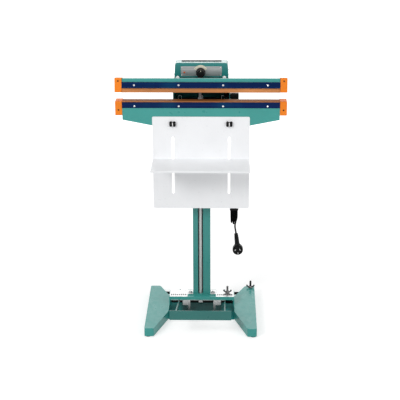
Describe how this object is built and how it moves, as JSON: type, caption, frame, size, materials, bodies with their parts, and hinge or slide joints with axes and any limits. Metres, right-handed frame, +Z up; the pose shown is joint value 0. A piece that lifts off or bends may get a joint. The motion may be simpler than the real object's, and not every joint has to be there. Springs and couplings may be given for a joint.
{
  "type": "foot pedal heat sealer",
  "caption": "Floor-standing impulse heat sealer: a jaw head on a column, closed by a foot pedal, with a sheet-metal tray in front.",
  "frame": {"origin": "on the floor, below the middle of the machine's own box without the cord", "axes": "+Z up, +X to the user's right, the user stands on the -Y side"},
  "size_m": [0.543, 0.37, 0.849],
  "materials": {
    "teal_paint": "glossy stove enamel",
    "dark_teal_paint": "glossy stove enamel",
    "blue_anodised": "satin anodised",
    "white_paint": "smooth powder coat",
    "zinc": "zinc plated",
    "bright_steel": "polished",
    "black_steel": "black oxide",
    "transformer_iron": "varnished laminations",
    "aluminium": "fine brushed",
    "ptfe_cloth": "coated glass cloth",
    "silicone": "matt",
    "orange_plastic": "moulded",
    "black_plastic": "moulded",
    "circuit_board": "lacquered board",
    "black_rubber": "matt",
    "cord_jacket": "smooth jacket"
  },
  "bodies": {
    "stand": {"foot_left": "teal_paint", "foot_right": "teal_paint", "rubber_pad_front_left": "black_rubber", "rubber_pad_front_right": "black_rubber", "rubber_pad_rear_left": "black_rubber", "rubber_pad_rear_right": "black_rubber", "bridge": "teal_paint", "base_pan": "dark_teal_paint", "support_bracket_left": "zinc", "support_bracket_right": "zinc", "pivot_shaft": "black_steel", "level_stud": "bright_steel", "stroke_stud": "bright_steel", "column": "teal_paint", "return_spring": "bright_steel", "head_tub": "dark_teal_paint", "front_skirt": "teal_paint", "hinge_pin": "bright_steel", "transformer": "transformer_iron", "micro_switch": "black_plastic", "cord_gland": "black_plastic", "lower_jaw_bar": "aluminium", "lower_rail": "blue_anodised", "heating_band": "bright_steel", "lower_cloth": "ptfe_cloth", "lower_cap_left": "orange_plastic", "lower_cap_right": "orange_plastic", "control_base": "dark_teal_paint", "control_cover": "dark_teal_paint", "label_plate": "aluminium", "timer_board": "circuit_board", "indicator_lamp": "orange_plastic", "tray_plate": "white_paint", "cord_lead": "cord_jacket", "cord_hank": "cord_jacket", "cord_tail": "cord_jacket", "cord_tie": "black_plastic", "plug": "black_plastic"},
    "jaw": {"upper_arm": "teal_paint", "upper_jaw_bar": "aluminium", "upper_carrier": "teal_paint", "upper_rail": "blue_anodised", "silicone_strip": "silicone", "upper_cloth": "ptfe_cloth", "upper_cap_left": "orange_plastic", "upper_cap_right": "orange_plastic"},
    "trunnion": {"rod_trunnion": "bright_steel"},
    "rod": {"pull_rod": "bright_steel", "rod_eye": "bright_steel", "rod_nut": "bright_steel"},
    "pedal": {"pedal_frame": "teal_paint", "pedal_cross_pin": "black_steel", "pin_sleeve": "black_rubber"},
    "plunger": {"switch_plunger": "orange_plastic"},
    "knob": {"timer_knob": "black_plastic"},
    "shelf": {"tray_shelf": "white_paint"},
    "wing_screw_left": {"tray_screw_left": "black_plastic"},
    "wing_screw_right": {"tray_screw_right": "black_plastic"},
    "level_nut": {"level_wing_nut": "zinc"},
    "stroke_nut": {"stroke_wing_nut": "zinc"}
  },
  "joints": [
    {"name": "jaw_hinge", "type": "hinge", "parent": "stand", "child": "jaw", "pos_m": [0, 0.14, 0.772], "axis": [1, 0, 0], "range_deg": [0, 10.5], "stiffness_Nm_per_rad": 40, "springref_deg": -20.05},
    {"name": "trunnion_hinge", "type": "hinge", "parent": "jaw", "child": "trunnion", "pos_m": [0, 0.045, 0.78086], "axis": [1, 0, 0], "range_deg": [-10.6, 0]},
    {"name": "rod_slide", "type": "slide", "parent": "stand", "child": "rod", "axis": [0, 0, -1], "range_m": [0, 0.0176], "deforming": ["return_spring"]},
    {"name": "pedal_hinge", "type": "hinge", "parent": "stand", "child": "pedal", "pos_m": [0, 0.135, 0.0188], "axis": [1, 0, 0], "range_deg": [0, 11.1]},
    {"name": "plunger_slide", "type": "slide", "parent": "stand", "child": "plunger", "axis": [0, 0, -1], "range_m": [0, 0.0039]},
    {"name": "timer_turn", "type": "hinge", "parent": "stand", "child": "knob", "pos_m": [-0.002, 0.045, 0.8195], "axis": [0, -1, 0], "range_deg": [-300, 0]},
    {"name": "shelf_slide", "type": "slide", "parent": "stand", "child": "shelf", "axis": [0, 0, 1], "range_m": [-0.097, 0.083]},
    {"name": "wing_screw_left_turn", "type": "hinge", "parent": "stand", "child": "wing_screw_left", "pos_m": [-0.09, -0.02, 0.672], "axis": [0, -1, 0], "continuous": true},
    {"name": "wing_screw_right_turn", "type": "hinge", "parent": "stand", "child": "wing_screw_right", "pos_m": [0.09, -0.02, 0.672], "axis": [0, -1, 0], "continuous": true},
    {"name": "level_nut_turn", "type": "hinge", "parent": "stand", "child": "level_nut", "pos_m": [0.168, 0.155, 0.036], "axis": [0, 0, 1], "continuous": true},
    {"name": "stroke_nut_turn", "type": "hinge", "parent": "stand", "child": "stroke_nut", "pos_m": [0.087, 0.045, 0.065], "axis": [0, 0, 1], "continuous": true}
  ],
  "couplings": [
    {"joint": "trunnion_hinge", "follows": "jaw_hinge", "ratio": -1},
    {"joint": "rod_slide", "follows": "jaw_hinge", "m_per_rad": 0.09526},
    {"joint": "pedal_hinge", "follows": "jaw_hinge", "ratio": 1.0552},
    {"joint": "plunger_slide", "follows": "jaw_hinge", "m_per_rad": 0.02074}
  ]
}
